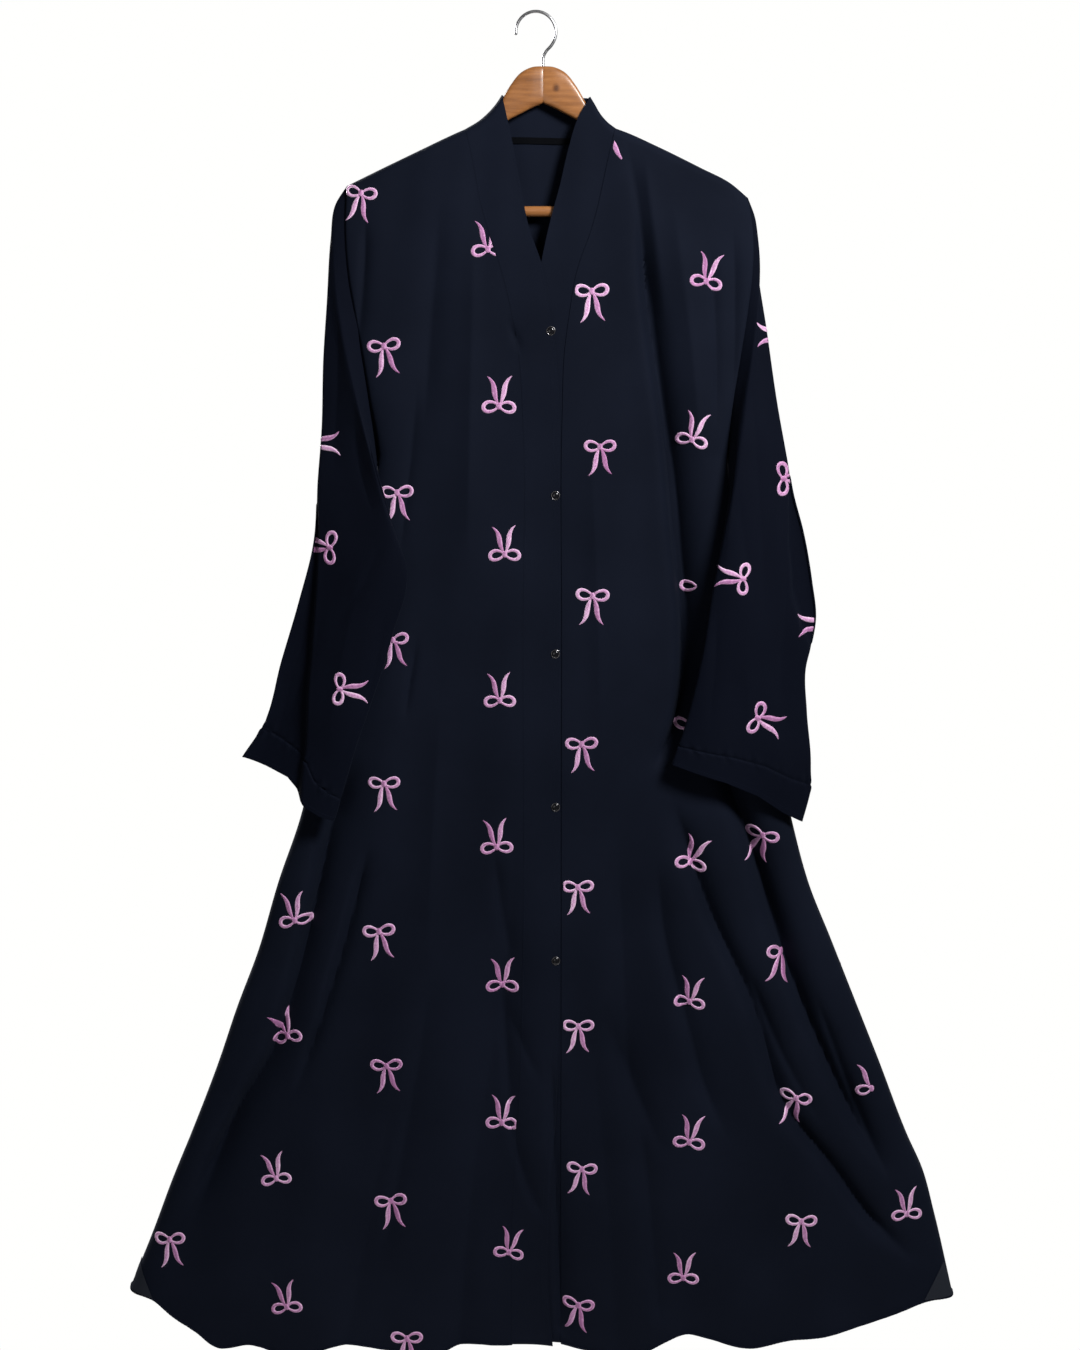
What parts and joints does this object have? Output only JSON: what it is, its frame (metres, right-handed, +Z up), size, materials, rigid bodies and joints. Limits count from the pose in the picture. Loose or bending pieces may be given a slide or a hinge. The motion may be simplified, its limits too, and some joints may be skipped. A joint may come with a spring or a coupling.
{
  "type": "abaya cloak on a wooden hanger",
  "caption": "Open-front A-line abaya with a V neckband, long sleeves, snap placket and embroidered bows, hanging on a wooden hanger.",
  "frame": {"origin": "inside top of the hanger's hook, where a rail or wall hook carries it", "axes": "+Z up, +X towards the right sleeve as seen from the front, front of the garment faces -Y"},
  "size_m": [1.01, 0.0814, 1.5759],
  "materials": {
    "crepe": "matt black navy crepe",
    "thread": "lilac pink satin stitch",
    "snap_metal": "dark domed snap with a bright rim",
    "wood": "clear lacquered brown wood",
    "hook_metal": "bright plated steel"
  },
  "bodies": {
    "root": {"front_left": "crepe", "front_right": "crepe", "back": "crepe", "sleeve_left": "crepe", "sleeve_right": "crepe", "cuff_left": "crepe", "cuff_right": "crepe", "band_left": "crepe", "band_right": "crepe", "collar_back": "crepe", "button_1": "snap_metal", "button_2": "snap_metal", "button_3": "snap_metal", "button_4": "snap_metal", "button_5": "snap_metal", "hanger_arm_left": "wood", "hanger_arm_right": "wood", "hanger_bar": "wood", "hanger_hook": "hook_metal"}
  },
  "joints": []
}
